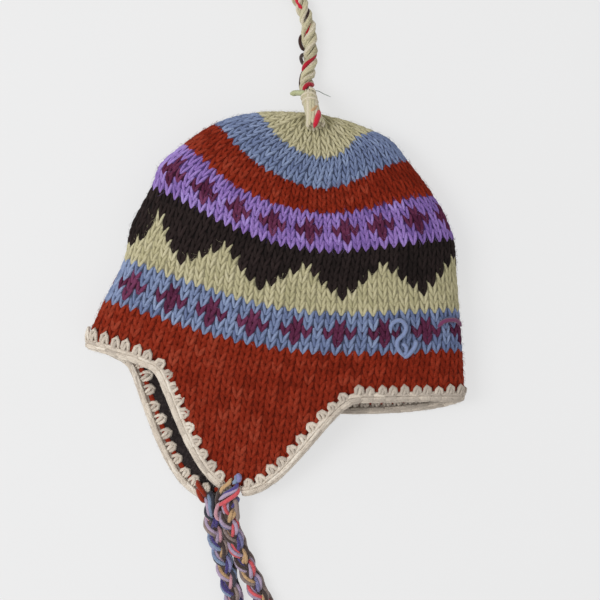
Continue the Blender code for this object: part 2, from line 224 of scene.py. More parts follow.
def courseLine(row, inset):
    size = courseSizes(row, inset)
    steps, half, corner, fold = hat["courseSteps"], size["halfWidth"], size["corner"], size["fold"]
    turn = np.linspace(0, math.pi / 2, steps + 1)
    flat = np.arange(steps) / steps * (half - corner)
    farAcross = np.concatenate([flat, half - corner + corner * np.sin(turn)])
    farZ = np.concatenate([np.full(steps, size["floor"]),
                           fold - (fold - size["floor"]) * np.cos(turn)])
    nearAcross = half * np.sin(turn) ** (2 / size["square"])
    nearZ = fold + (size["top"] - fold) * np.cos(turn)
    across = np.concatenate([-farAcross, -nearAcross[-2::-1], nearAcross[1:], farAcross[-2::-1]])
    height = np.concatenate([farZ, nearZ[-2::-1], nearZ[1:], farZ[-2::-1]])
    isNear = np.zeros(len(across), bool)
    isNear[len(farZ):len(farZ) + 2 * steps] = True
    arc = np.sin(math.pi * np.clip(0.5 + 0.5 * across / half, 0.0, 1.0)).clip(0)
    farPower = np.where(across < 0, hat["farLeftSagPower"], hat["farSagPower"])
    drop = np.where(isNear, size["nearSag"] * arc ** hat["nearSagPower"],
                    size["farSag"] * arc ** farPower)
    rise = size["rise"] + size["tilt"] * 0.5 * across / half - drop
    return np.stack([size["middle"] + across, rise, height], axis=-1)


def coursePoints(row, inset, count):
    outer, line = courseLine(row, 0.0), courseLine(row, inset)
    lengths = travelAlong(outer)
    return readLine(line, lengths, lengths[-1] * np.arange(count) / count)


def onNearLayer(columns):
    return (columns > hat["nearColumns"][0]) & (columns < hat["nearColumns"][1])


def flapDepth(columns, u):
    centre = np.where(onNearLayer(columns), hat["nearFlap"], hat["farFlap"]) * hat["rimWidth"]
    onLeft = u < centre
    share = np.where(onLeft, hat["flapLeftShare"], 1 - hat["flapLeftShare"])
    away = np.abs(u - centre) / (share * hat["flapWidth"])
    side = np.cos(0.5 * math.pi * np.minimum(away, hat["flapReach"]))
    rounded = 0.5 * (side + np.hypot(side, hat["flapBlend"]))
    depth = hat["flapDrop"] * rounded ** np.where(onLeft, hat["leftPower"], hat["rightPower"])
    return np.where(away >= hat["flapReach"], 0.0, depth)


def belowRim(columns, rim, depth):
    droop = hat["flapDroop"] * (depth / hat["flapDrop"]) ** hat["droopPower"]
    droop = np.where(onNearLayer(columns), droop, 0.0)
    return rim - np.stack([np.zeros_like(depth), depth, droop], axis=-1)


def shellRings(inset, count, flapSteps, crownRows):
    # rings from the lower edge up, as part.py lofts its walls
    columns = np.arange(count) * hat["stitchesRound"] / count
    rim = coursePoints(0, inset, count)
    depth = flapDepth(columns, rim[:, 0])
    first = hat["firstBand"]
    band = hat["crownDepth"] * first / hat["topRow"]
    fineSteps = 4 * first
    fine = np.stack([coursePoints(row, inset, count)
                     for row in np.linspace(0, first, fineSteps + 1)])
    rings = []
    for step in range(flapSteps):
        along = (depth + band) * step / flapSteps
        ring = belowRim(columns, rim, np.maximum(depth - along, 0))
        place = np.clip((along - depth) / band, 0, 1) * fineSteps
        low = np.minimum(place.astype(int), fineSteps - 1)
        share = (place - low)[:, None]
        k = np.arange(count)
        onBand = fine[low, k] * (1 - share) + fine[low + 1, k] * share
        rings.append(np.where((along > depth)[:, None], onBand, ring))
    rings += [coursePoints(row, inset, count) for row in crownRows]
    return toWorld(np.stack(rings))


def apexPoint(inset):
    size = courseSizes(hat["topRow"], inset)
    return toWorld(np.array([size["middle"], size["rise"], size["fold"]]))


# A grid of the outer surface, four steps to a stitch and to a row, that all stitches read
gridStep, gridLow = 0.25, -14
lastRow = hat["topRow"] - 0.07   # short of the very top, where a course shrinks to a point
gridRows = np.arange(gridLow, hat["topRow"] + 0.01, gridStep)
gridCount = int(hat["stitchesRound"] / gridStep)
gridColumns = np.arange(gridCount) * gridStep
rimPoints = coursePoints(0, 0.0, gridCount)
rimDepth = flapDepth(gridColumns, rimPoints[:, 0])
surface = toWorld(np.stack([
    belowRim(gridColumns, rimPoints, np.full(gridCount, -row * hat["flapRow"])) if row < 0
    else coursePoints(min(row, lastRow), 0.0, gridCount) for row in gridRows]))
columnStep = (np.roll(surface, -1, axis=1) - np.roll(surface, 1, axis=1)) / (2 * gridStep)
rowStep = np.gradient(surface, gridStep, axis=0)
surfaceNormal = unit(np.cross(columnStep, rowStep))


def readGrid(field, column, row):
    x = np.mod(column, hat["stitchesRound"]) / gridStep
    y = np.clip((row - gridLow) / gridStep, 0, len(gridRows) - 1.001)
    i, j = np.floor(x).astype(int) % gridCount, np.floor(y).astype(int)
    a, b = (x - np.floor(x))[..., None], (y - j)[..., None]
    k = (i + 1) % gridCount
    return ((field[j, i] * (1 - a) + field[j, k] * a) * (1 - b)
            + (field[j + 1, i] * (1 - a) + field[j + 1, k] * a) * b)


def pixelSize(z):
    # metres to a pixel of the 600 x 600 frame at a height
    return cameraView["pixel"] / cameraView["pixelDepth"] * (cameraView["place"][2] - z)


def pixelPoint(x, y, z):
    # where the camera's ray through a pixel meets a height, or each of several heights
    x, y = ((place - cameraView["middle"]) * pixelSize(z) for place in (x, y))
    return np.stack([cameraView["place"][0] + x, cameraView["place"][1] - y, z], axis=-1)


def awayFromPixel(points, x, y):
    return np.linalg.norm(points - pixelPoint(x, y, points[:, 2]), axis=1)


def onHat(x, y, above):
    # a point above the near layer under a pixel
    low, high = hat["nearColumns"]
    nearPart = slice(int(low / gridStep) + 1, int(high / gridStep))
    points = surface[:, nearPart].reshape(-1, 3)
    k = int(np.argmin(awayFromPixel(points, x, y)))
    normal = surfaceNormal[:, nearPart].reshape(-1, 3)[k]
    return pixelPoint(x, y, (points[k] + normal * above)[2])


# Mesh helpers: yarn is joined from many small tubes, worked out as arrays
def newStore():
    return {"count": 0, "points": [], "faces": [], "uv": [], "shade": [], "tint": []}


def addTubes(store, centres, ups, across, height, sides=6, shade=0.0, colour=None):
    # centres and ups are (tubes, rings, 3), across and height (tubes, rings)
    tint = hexColour(yarnColours[colour]) if colour else (1.0, 1.0, 1.0)
    tubes, rings = centres.shape[:2]
    along = unit(np.gradient(centres, axis=1))
    out = unit(np.cross(ups, along))
    up = np.cross(along, out)
    turn = 2 * math.pi * np.arange(sides) / sides
    ring = (out[:, :, None] * (across[..., None] * np.cos(turn))[..., None]
            + up[:, :, None] * (height[..., None] * np.sin(turn))[..., None])
    store["points"].append((centres[:, :, None] + ring).reshape(-1, 3))
    i = np.arange(sides)
    j = (i + 1) % sides
    base = store["count"] + (np.arange(tubes) * rings * sides)[:, None, None]
    low = base + (np.arange(rings - 1) * sides)[None, :, None]
    quads = np.stack([low + i, low + j, low + sides + j, low + sides + i], axis=-1).reshape(-1, 4)
    travel = np.concatenate([np.zeros((tubes, 1)), np.cumsum(
        np.linalg.norm(np.diff(centres, axis=1), axis=2), axis=1)], axis=1)
    a = np.broadcast_to(travel[:, :-1, None], low.shape[:2] + (sides,))
    b = np.broadcast_to(travel[:, 1:, None], low.shape[:2] + (sides,))
    v = np.broadcast_to(i / sides, a.shape)
    w = np.broadcast_to((i + 1) / sides, a.shape)
    uv = np.stack([np.stack([a, v], -1), np.stack([a, w], -1), np.stack([b, w], -1),
                   np.stack([b, v], -1)], axis=3).reshape(-1, 2)
    first = base[:, 0] + i[::-1]
    last = base[:, 0] + (rings - 1) * sides + i
    store["faces"] += quads.tolist() + first.tolist() + last.tolist()
    store["uv"] += [uv, np.full((2 * tubes * sides, 2), 0.5)]
    store["shade"].append(np.repeat(np.broadcast_to(shade, (tubes,)), rings * sides))
    store["tint"].append(np.repeat(np.broadcast_to(tint, (tubes, 3)), rings * sides, axis=0))
    store["count"] += tubes * rings * sides


def addYarn(store, line, up, radius, sides=6, shade=0.0, colour=None):
    # one yarn along a line, its radius one number or one for each point
    thick = np.broadcast_to(radius, (1, len(line)))
    up = np.broadcast_to(up, (1, len(line), 3))
    addTubes(store, line[None], up, thick, thick, sides, shade, colour)


def addHairs(store, start, normal, length=0.0030, thick=0.00006, lift=0.0014, colour=None):
    # loose hairs that stand off the yarn, one from each start
    number = len(start)
    sideways = unit(np.cross(normal, chance.normal(0, 1, (number, 3))))
    bend = np.cross(normal, sideways) * chance.normal(0, 0.45, (number, 1))
    reach = chance.uniform(0.5, 1.3, (number, 1)) * length
    lift = np.where(normal[:, 2:] < -0.3, 0.0, chance.uniform(0.1, 1.2, (number, 1)) * lift)
    centres = np.stack([start + (sideways * t + bend * t * t) * reach + normal * (lift * h - 0.0004)
                        for t, h in ((0.0, -0.3), (0.45, 0.75), (1.0, 1.0))], axis=1)
    centres[..., 2] = np.maximum(centres[..., 2], 0.0002)
    thin = np.tile(np.array([1.0, 0.85, 0.35]) * thick, (number, 1))
    addTubes(store, centres, np.repeat(normal[:, None], 3, axis=1), thin, thin, 3, 0.12, colour)


def makePiece(name, store, material, replaced=()):
    mesh = bpy.data.meshes.new(name)
    mesh.from_pydata(np.concatenate(store["points"]).tolist(), [], store["faces"])
    layer = mesh.uv_layers.new(name="yarn")
    layer.data.foreach_set("uv", np.concatenate(store["uv"]).astype(np.float32).ravel())
    mesh.attributes.new("shade", "FLOAT", "POINT").data.foreach_set(
        "value", np.concatenate(store["shade"]).astype(np.float32))
    tint = np.concatenate(store["tint"])
    mesh.attributes.new("tint", "FLOAT_COLOR", "POINT").data.foreach_set(
        "color", np.concatenate([tint, np.ones((len(tint), 1))], axis=1).astype(np.float32).ravel())
    mesh.shade_smooth()
    mesh.materials.append(material)
    piece = bpy.data.objects.new(name, mesh)
    bpy.context.scene.collection.objects.link(piece)
    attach(piece, "root")
    if replaced:
        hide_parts(*replaced)
    print("made", name, "with", sum(len(face) - 2 for face in store["faces"]), "triangles")
    return piece


def smoothRoute(chosen, spacing=None, count=None):
    # even points along a smooth curve through chosen points, as part.py has it
    chosen = [np.array(point, float) for point in chosen]
    ends = [2 * chosen[0] - chosen[1]] + chosen + [2 * chosen[-1] - chosen[-2]]
    fine = []
    for a, b, c, d in zip(ends, ends[1:], ends[2:], ends[3:]):
        for t in np.arange(30) / 30:
            fine.append(0.5 * (2 * b + (c - a) * t + (2 * a - 5 * b + 4 * c - d) * t ** 2
                               + (3 * b - a - 3 * c + d) * t ** 3))
    fine = np.array(fine + [chosen[-1]])
    travel = travelAlong(fine)
    steps = (count - 1) if count else max(2, round(travel[-1] / spacing))
    return readLine(fine, travel, travel[-1] * np.arange(steps + 1) / steps)


def routeLength(route):
    return float(travelAlong(route)[-1])


def routeFrames(route):
    # sideways and upward directions along a route that lies on the table
    along = unit(np.gradient(route, axis=0))
    side = unit(np.cross(along, overhead))
    return side, np.cross(side, along)


edgeRadius = (hat["knitWall"] + hat["liningGap"] + hat["liningWall"]) / 2
edgeProud, mitreLimit = 0.0005, 0.7
gapBetween = 0.0003   # metres between neighbouring pieces, as in part.py


def edgeLine(count):
    # the crocheted edge's centre line with its outward and inward directions
    outer, inner = (shellRings(inset, count, 4, ()) for inset in (0.0, 2 * edgeRadius))
    middles = (outer[0] + inner[0]) / 2
    along = np.roll(middles, -1, axis=0) - np.roll(middles, 1, axis=0)
    through = unit(inner[0] - outer[0])
    out = unit(np.cross(along, through))
    out *= np.where(np.sum(out * (outer[1] - outer[0]), axis=1) > 0, -1, 1)[:, None]
    ahead = unit(np.roll(middles, -1, axis=0) - middles)
    square = out - ahead * np.sum(out * ahead, axis=1, keepdims=True)
    mitre = 1 / np.maximum(np.linalg.norm(square, axis=1), mitreLimit)
    return middles + out * ((edgeRadius + edgeProud) * mitre)[:, None], out, through


def flapTip(line, near):
    columns = np.arange(len(line)) * hat["stitchesRound"] / len(line)
    return int(np.argmin(np.where(onNearLayer(columns) == near, line @ hatUp, 1e9)))


cadEdge = edgeLine(hat["stitchesRound"])[0]

# Braids and the top cord, in plied wool: matt, each yarn with its own tint, flecks and slant lines
yarnColours = {
    "periwinkle": "#8382AE", "lilac": "#A795AC", "coral": "#C9555C", "tan": "#B9976F",
    "umber": "#4A3D3A", "slate": "#3B3B44", "blueGrey": "#7C8CA8", "taupe": "#8E7D78",
    "violet": "#4F4580", "khaki": "#BDB596", "cream": "#CDC3AC", "red": "#BE2236",
    "brown": "#3A2420", "green": "#AEB28A", "rose": "#B98A94", "rust": "#8A2C16", "grey": "#8A958F",
}
mixedWool = woolMaterial("mixed_wool_yarn", "#FFFFFF", "#C4C0C0", "#FFFFFF", tinted=True, ply=0.7)
cordWool = woolMaterial("khaki_wool_yarn", "#FFFFFF", "#CFCBC4", "#FFFFFF", tinted=True, ply=0.7)
cadSpacing, fineSpacing = 0.0045, 0.0012   # metres between a route's points, in part.py and here


def yarnBundle(store, centre, side, up, offset, radius, colours, turnPerMetre, start=0.0):
    travel = travelAlong(centre)
    for k, colour in enumerate(colours):
        angle = (start + 2 * math.pi * k / len(colours) + turnPerMetre * travel)[:, None]
        line = centre + around(side, up, angle) * offset
        full = radius * (1.35 if colour == "red" else 1.0)   # the red yarn is the fattest
        thick = full * (1 + 0.06 * chance.standard_normal(len(line)))
        thick[[0, -1]] = radius * 0.45
        addYarn(store, line, up, thick, shade=0.12 * chance.standard_normal(1), colour=colour)


braids = {
    "diameter": 0.0116, "cycle": 0.034, "swing": 0.0041, "lift": 0.0021,
    "yarnOffset": 0.0017, "yarnRadius": 0.00138, "twist": 120.0, "coreRadius": 0.0028,
    "settle": 0.012,   # metres over which the strands spread from their root
    "sideOut": 0.0050, "sideDown": 0.0020, "sideOffset": 0.0010, "sideRadius": 0.00125,
    "sideTwist": 160.0, "hairs": 130, "brushColours": ("lilac", "coral", "umber", "tan"),
    "near": {
        "phase": 0.1, "sideYarns": ("taupe", "taupe", "taupe"),
        "strands": (("coral", "lilac", "coral", "lilac"), ("tan", "umber", "taupe", "tan"),
                    ("violet", "periwinkle", "lilac", "umber")),
        "route": ((-0.0462, -0.1889, 0.0140), (-0.0422, -0.2036, 0.0108),
                  (-0.0366, -0.2185, 0.0080), (-0.0302, -0.2334, 0.0064),
                  (-0.0222, -0.2500, 0.0060), (-0.0180, -0.2590, 0.0060))},
    "far": {
        "phase": 0.45, "sideYarns": ("slate", "umber", "lilac"),
        "strands": (("violet", "periwinkle", "blueGrey", "violet"),
                    ("tan", "umber", "taupe", "lilac"), ("blueGrey", "lilac", "rose", "slate")),
        "route": ((-0.0575, -0.1936, 0.0060), (-0.0529, -0.2117, 0.0060),
                  (-0.0486, -0.2261, 0.0060), (-0.0449, -0.2406, 0.0060),
                  (-0.0420, -0.2514, 0.0060), (-0.0404, -0.2590, 0.0060))},
}
knots = {"radius": 0.0078, "turns": 2.6, "coilReach": 0.66, "coilOffset": 0.0011,
         "coilRadius": 0.00115, "coilTwist": 500.0, "brush": 0.020, "ends": 30, "endRadius": 0.0011}


def makeKnot(name, end, heading, colours, material, node):
    # an overhand knot: two and a half turns round the cord, and a brush of cut ends
    heading = unit(np.array([heading[0], heading[1], 0.0]))
    side, up = np.array([-heading[1], heading[0], 0.0]), overhead
    store = newStore()
    size = knots["radius"]
    middle = np.array([end[0], end[1], size]) + heading * size * 1.05
    turn = np.linspace(0, 2 * math.pi * knots["turns"], 60)
    outward = around(side, up, turn[:, None])
    lean = (np.linspace(-0.55, 0.55, 60) * size + 0.0012 * np.sin(turn))[:, None]
    coil = middle + outward * size * knots["coilReach"] + heading * lean
    sideways = unit(np.cross(np.gradient(coil, axis=0), outward))
    yarnBundle(store, coil, sideways, outward, knots["coilOffset"], knots["coilRadius"],
               colours[:3], knots["coilTwist"])
    core = middle + heading * np.linspace(-1.02, 1.02, 8)[:, None] * size
    addYarn(store, core, up, size * 0.5, sides=10, colour=colours[0])
    grow = np.linspace(0, 1, 7)[:, None]
    taper = np.array([0.8, 1, 1, 1, 0.95, 0.8, 0.35])
    for k in range(knots["ends"]):
        angle, share = 2.4 * k, math.sqrt((k + 0.5) / knots["ends"])
        spread = around(side, up, angle) * share * size
        reach = size * 0.9 + knots["brush"] * (1.0 - 0.12 * (k % 3))
        line = middle + heading * (reach * grow) + spread * (0.38 + 0.45 * grow)
        line[:, 2] = np.maximum(line[:, 2] - 0.002 * grow[:, 0] ** 2, knots["endRadius"])
        addYarn(store, line, up, knots["endRadius"] * taper, sides=5,
                colour=colours[k % len(colours)])
    return makePiece(name, store, material, (node,))


def makeBraid(name, near):
    label = "near" if near else "far"
    own = braids[label]
    tip = cadEdge[flapTip(cadEdge, near)]
    toward = unit(np.array(own["route"][0]) - tip)
    start = tip + toward * (edgeRadius + gapBetween)
    start[2] = max(start[2], braids["diameter"] / 2 + gapBetween)
    lead = start + toward * braids["diameter"] / 2
    path = np.vstack([start, smoothRoute([lead, *own["route"]], spacing=cadSpacing)])
    route = smoothRoute(path, spacing=fineSpacing)
    side, up = routeFrames(route)
    travel = travelAlong(route)[:, None]
    settle = np.minimum(1.0, 0.35 + travel / braids["settle"])
    store = newStore()
    for k in range(3):
        phase = 2 * math.pi * (travel / braids["cycle"] + k / 3 + own["phase"])
        centre = route + settle * (side * np.sin(phase) * braids["swing"]
                                   - up * np.sin(2 * phase) * braids["lift"])
        yarnBundle(store, centre, side, up, braids["yarnOffset"], braids["yarnRadius"],
                   own["strands"][k], braids["twist"], start=0.7 * k)
        addYarn(store, centre, up, braids["yarnOffset"], colour="taupe")
    route, side, up, travel = (part[3:-3] for part in (route, side, up, travel))
    addYarn(store, route, up, braids["coreRadius"], sides=8, colour="umber")
    # yarns that run along the braid's right side
    tuck = np.minimum(1, travel / braids["settle"])
    sway = np.sin(4 * math.pi * travel / braids["cycle"] + 1.0)
    line = (route - side * (braids["sideOut"] + 0.0006 * sway) * tuck
            - up * (0.001 + braids["sideDown"] * tuck))
    line[:, 2] = np.maximum(line[:, 2], 0.0026)
    yarnBundle(store, line, side, up, braids["sideOffset"], braids["sideRadius"],
               own["sideYarns"], braids["sideTwist"])
    half = braids["hairs"]
    pick = chance.integers(0, len(side), 2 * half)
    turn = chance.uniform(0, 2 * math.pi, (2 * half, 1))
    way = around(side[pick], up[pick], turn)
    for part, colour in ((slice(0, half), "lilac"), (slice(half, None), "taupe")):
        addHairs(store, (route[pick] + way * 0.0047)[part], way[part], length=0.0032,
                 lift=0.0012, colour=colour)
    piece = makePiece(name, store, mixedWool, (label + "_flap_braid",))
    knot = makeKnot(name + "Knot", path[-1], path[-1] - path[-3], braids["brushColours"],
                    mixedWool, label + "_braid_knot")
    [tuple(point) for point in smoothRoute(path, count=30)]
    print(name, "is", round(routeLength(path), 4), "m long")


makeBraid("nearFlapBraid", True)
makeBraid("farFlapBraid", False)

topCord = {
    "diameter": 0.0106, "pitch": 0.026, "offset": 0.0027,
    "yarnOffset": 0.00135, "yarnRadius": 0.00132,
    "strands": (("khaki", "khaki", "cream", "khaki"), ("khaki", "cream", "khaki", "khaki"),
                ("red", "khaki", "khaki", "brown")),
    "redUp": 0.1402,   # the red yarn is on top at this height, as in the photo
    "route": ((0.0115, 0.1265, 0.0075), (0.0135, 0.1400, 0.0056), (0.0134, 0.1500, 0.0054),
              (0.0127, 0.1620, 0.0054), (0.0082, 0.1762, 0.0054), (0.0030, 0.1880, 0.0054)),
}
foot = {"radius": 0.0062, "length": 0.029, "seatRow": 35.8, "gap": 0.0006,
        "line": ((0.0, 0.0, 0.0), (0.45, 0.10, 0.07), (0.90, 0.20, 0.28)),
        "coreRadius": 0.0042, "yarns": 13, "yarnRadius": 0.0015, "yarnReach": 0.0043,
        "whipTurns": 2.2, "whipReach": 0.0051, "whipRadius": 0.0010}


def nearPoint(row, off):
    count = hat["stitchesRound"]
    return toWorld(coursePoints(row, 0.0, count)[count // 2 + off])


def footLine():
    seat = nearPoint(foot["seatRow"], 0)
    upward = unit(nearPoint(foot["seatRow"] + 0.5, 0) - seat)
    across = unit(nearPoint(foot["seatRow"], 1) - nearPoint(foot["seatRow"], -1))
    normal = unit(np.cross(across, upward))
    start = seat + normal * (foot["radius"] + foot["gap"])
    points = []
    for reach, left, sink in foot["line"]:
        point = start + (upward * reach - across * left) * foot["length"]
        points.append(point - np.array([0.0, 0.0, sink * foot["length"]]))
    return smoothRoute(points, spacing=0.004)   # as part.py has it


footRoute = footLine()
heading = unit(footRoute[-1] - footRoute[-2])
cordStart = footRoute[-1] + heading * gapBetween
cordPath = np.vstack([cordStart, smoothRoute(
    [cordStart + heading * topCord["diameter"] / 2, *topCord["route"]], spacing=cadSpacing)])
cordLine = smoothRoute(cordPath, spacing=fineSpacing)
side, up = routeFrames(cordLine)
travel = travelAlong(cordLine)
turning = 2 * math.pi / topCord["pitch"]
redAt = np.interp(topCord["redUp"], cordLine[:, 1], travel)
store = newStore()
for k in range(3):
    begin = math.pi / 2 + turning * redAt + 2 * math.pi * (2 - k) / 3
    angle = (begin - turning * travel)[:, None]
    centre = cordLine + around(side, up, angle) * topCord["offset"]
    yarnBundle(store, centre, side, up, topCord["yarnOffset"], topCord["yarnRadius"],
               topCord["strands"][k], -turning, start=begin)
cordPiece = makePiece("topCord", store, cordWool, ("top_cord",))
cordKnot = makeKnot("topCordKnot", cordPath[-1], cordPath[-1] - cordPath[-3],
                    ("khaki", "cream", "khaki", "red"), cordWool, "top_cord_knot")
[tuple(point) for point in smoothRoute(cordPath, count=30)]
print("top cord is", round(routeLength(cordPath), 4), "m long")

# The wrapped foot of the cord, with its red yarn, cut stub and a stray fibre
footFine = smoothRoute(footRoute, spacing=fineSpacing)
side, up = routeFrames(footFine)
share = np.linspace(0, 1, len(footFine))
store = newStore()
taper = np.interp(share, [0, 0.05, 0.95, 1], [0.3, 1, 1, 0.5])
addYarn(store, footFine, up, foot["coreRadius"] * taper, sides=10, colour="khaki")
taper = np.interp(share, [0, 0.06, 0.9, 1], [0.4, 1, 1, 0.5])
for k in range(foot["yarns"]):
    angle = (2 * math.pi * k / foot["yarns"] - 1.6 * share)[:, None]
    reach = foot["yarnReach"] - 0.0006 * share + 0.0016 * np.maximum(0, 1 - share / 0.25)
    line = footFine + around(side, up, angle) * reach[:, None]
    addYarn(store, line, up, foot["yarnRadius"] * taper, shade=0.1 * chance.standard_normal(1),
            colour="khaki" if k % 3 else "cream")
turn = np.linspace(0, 2 * math.pi * foot["whipTurns"], 60)[:, None]
wrapAt = smoothRoute(footRoute[-4:], count=60)
outward = around(*routeFrames(wrapAt), turn)
addYarn(store, wrapAt + outward * foot["whipReach"], outward, foot["whipRadius"], colour="cream")


def addStray(store, points, radius, colour, count=16, sides=6, pointed=False):
    # a loose yarn through points in metres
    ends = [0.15, 0.8, 1, 1, 0.8, 0.15] if pointed else [0.35, 1, 1, 1, 1, 0.35]
    taper = np.interp(np.linspace(0, 1, count), [0, 0.14, 0.4, 0.6, 0.86, 1], ends)
    addYarn(store, smoothRoute(points, count=count), overhead, radius * taper, sides,
            colour=colour)


def onFoot(x, y, above):
    # a point on the wrapped foot under a pixel
    off = awayFromPixel(footFine, x, y)
    k = int(np.argmin(off))
    bulge = math.sqrt(max(0.0, 1 - (off[k] / foot["radius"]) ** 2)) * foot["radius"]
    return pixelPoint(x, y, footFine[k, 2] + bulge + above)


# each stray yarn: its colour, radius in millimetres, and pixels with a height in millimetres
for colour, radius, places in (
        ("red", 2.1, ((319, 110, -1.2), (318, 116, 0.2), (316, 122, 0.4), (314, 128, -1.2))),
        ("tan", 1.3, ((317, 106, -1), (314, 109, -0.2), (311, 112, -1))),
        ("red", 0.8, ((311, 94, -0.8), (308, 96, 0), (307, 100, -0.8))),
        ("green", 2.1, ((305, 93, -1), (301, 93, -3), (296, 93, -4), (290, 94, -4.5))),
        ("grey", 0.28, ((312, 91, -1), (318, 91, -2), (324, 94, -3), (331, 97, -4)))):
    points = [onFoot(x, y, z / 1000) for x, y, z in places]
    addStray(store, points, radius / 1000, colour, pointed=colour == "red",
             sides=4 if colour == "grey" else 6)
# yarn that has worked loose at the cord's left side
for colour, radius, pixels in (
        ("brown", 0.0013, ((302, 34), (300, 40), (301, 46), (304, 51))),
        ("umber", 0.0013, ((304, 53), (301, 57), (302, 62), (305, 66))),
        ("brown", 0.0009, ((304, 69), (301, 76), (300, 84), (301, 90), (304, 93))),
        ("red", 0.0013, ((296, -3), (297, 1), (299, 5), (302, 9))),
        ("khaki", 0.0016, ((302, 12), (303, 18), (304, 26), (303, 36), (304, 46)))):
    level = 0.0092 if colour == "red" else 0.0058
    addStray(store, [pixelPoint(x, y, level) for x, y in pixels], radius, colour)
makePiece("topCordFoot", store, cordWool, ("top_cord_base",))

# The knitting: every stitch is two slanted legs of yarn, one piece for each colour
# gap is the colour of the ground between a yarn's stitches, darkened as painted shade
yarnNames = ("base", "dark", "light", "gap", "width", "height", "slot", "hairs", "sheen")
yarns = {   # width is a share of a stitch, height in metres, hairs are counted for each stitch
    "rust": ("#832713", "#6D1C0A", "#933B27", "#771F0B", 0.205, 0.00100, "rust_wool", 9, 0.25),
    "blue": ("#7481A1", "#5D698B", "#8C9AB8", "#535D78", 0.172, 0.00130, "mixed_wool", 3, 0.30),
    "khaki": ("#B3AC8A", "#A29C7A", "#BEB798", "#B4AD8C", 0.176, 0.00120, "khaki_wool", 3, 0.30),
    "black": ("#241C1B", "#1A1413", "#2E2423", "#171211", 0.205, 0.00105, "charcoal_fleece", 5,
              0.08),
    "purple": ("#8E70B2", "#705696", "#A28CCA", "#5D4585", 0.190, 0.00120, "mixed_wool", 5, 0.30),
    "maroon": ("#592741", "#451A32", "#6E3755", "#3D172C", 0.205, 0.00105, "mixed_wool", 5, 0.25),
}
yarns = {name: dict(zip(yarnNames, sizes)) for name, sizes in yarns.items()}
bandRows = ((5, "rust"), (10, "blue"), (18, "black"), (23, "purple"), (27, "rust"),
            (32, "blue"), (38, "khaki"))
stitchCounts = ((23, 72), (27, 60), (32, 48), (34, 36), (36, 24), (37, 18), (38, 12))
# at each row, how far the pattern reaches to both sides of its middle, in stitches
crosses = {6: 0, 7: 1, 8: 0, 19: 0, 20: 1, 21: 0}
mountains = {10: 4, 11: 4, 12: 3, 13: 2, 14: 1, 15: 0}


def stitchYarn(column, row):
    if abs((column + 1) % 4 - 2) <= crosses.get(row, -1):
        return "maroon"
    off = abs((column - 1) % 8 - 4)
    if 17 <= column < 21:   # the first mountain falls off steeply at its left
        off = min(4, 2.4 * off)
    if off <= mountains.get(row, -1):
        return "khaki"
    return next(name for top, name in bandRows if row < top)


layout = {name: [] for name in yarns}   # column, row and width of each stitch
for row in range(gridLow + 1, hat["topRow"]):
    count = next(number for top, number in stitchCounts if row < top)
    for k in range(count):
        column = k * hat["stitchesRound"] / count
        if row < 0 and rimDepth[int(column / gridStep)] < (-row - 0.45) * hat["flapRow"]:
            continue
        layout[stitchYarn(k, row)].append((column, row, hat["stitchesRound"] / count))

leg = {   # along a leg from its foot: rows up, share of a stitch aside, thickness, sink in metres
    "up": np.array([-0.50, -0.22, 0.18, 0.62, 1.02, 1.30]),
    "aside": np.array([0.02, 0.07, 0.16, 0.27, 0.37, 0.43]),
    "thick": np.array([0.30, 0.80, 1.0, 1.0, 0.85, 0.35]),
    "sink": np.array([0.0019, 0.0008, 0.0001, 0.0, 0.0005, 0.0016]),
}

drift = {   # how far the wales lean at some rows: column and shift, in stitches
    0: ((18, 0.0), (54, 0.0)),
    7: ((17, -0.2), (21, -0.15), (25, 0.2), (29, 0.1), (33, 0.0), (37, 0.12), (41, 0.0),
        (45, 0.45), (54, 0.4)),
    10: ((18, -0.2), (25, 0.1), (37, 0.1), (54, 0.2)),
    15: ((18, 0.8), (21, 0.9), (25, 0.3), (29, 0.25), (37, 0.35), (45, 0.0), (54, 0.1)),
    20: ((18, -0.2), (21, -0.15), (25, 0.5), (29, 0.6), (37, 0.6), (41, 0.5), (45, 0.25),
         (49, 0.5), (54, 0.4)),
    27: ((18, 0.3), (54, 0.3)),
}


def surfaceColumn(column, row):
    c = np.mod(column, hat["stitchesRound"])
    near = np.interp(c, [16, 19, 53, 56], [0, 1, 1, 0])
    shifts = np.stack([np.interp(c, *np.array(line).T) for line in drift.values()])
    place = np.interp(row, list(drift), np.arange(len(drift)))
    low = np.minimum(place.astype(int), len(drift) - 2)
    share = place - low
    below, above = (np.take_along_axis(shifts, k[None], axis=0)[0] for k in (low, low + 1))
    return column + near * (below * (1 - share) + above * share)


def surfaceRow(column, row):
    # the knitting is pulled up at the right of the crown and slack at its left
    c = np.mod(column, hat["stitchesRound"])
    right = np.interp(c, [38, 41, 44, 47, 54, 66], [0.0, 0.2, 0.6, 1.0, 1.0, 0.0])
    left = np.sin(math.pi * np.clip((c - 18) / 18, 0, 1)) ** 2
    return (row + right * np.interp(row, [23, 27, 32, 38], [0.0, 1.4, 1.6, 0.0])
            - left * np.interp(row, [18, 23, 32, 38], [0.0, 0.65, 0.65, 0.0]))


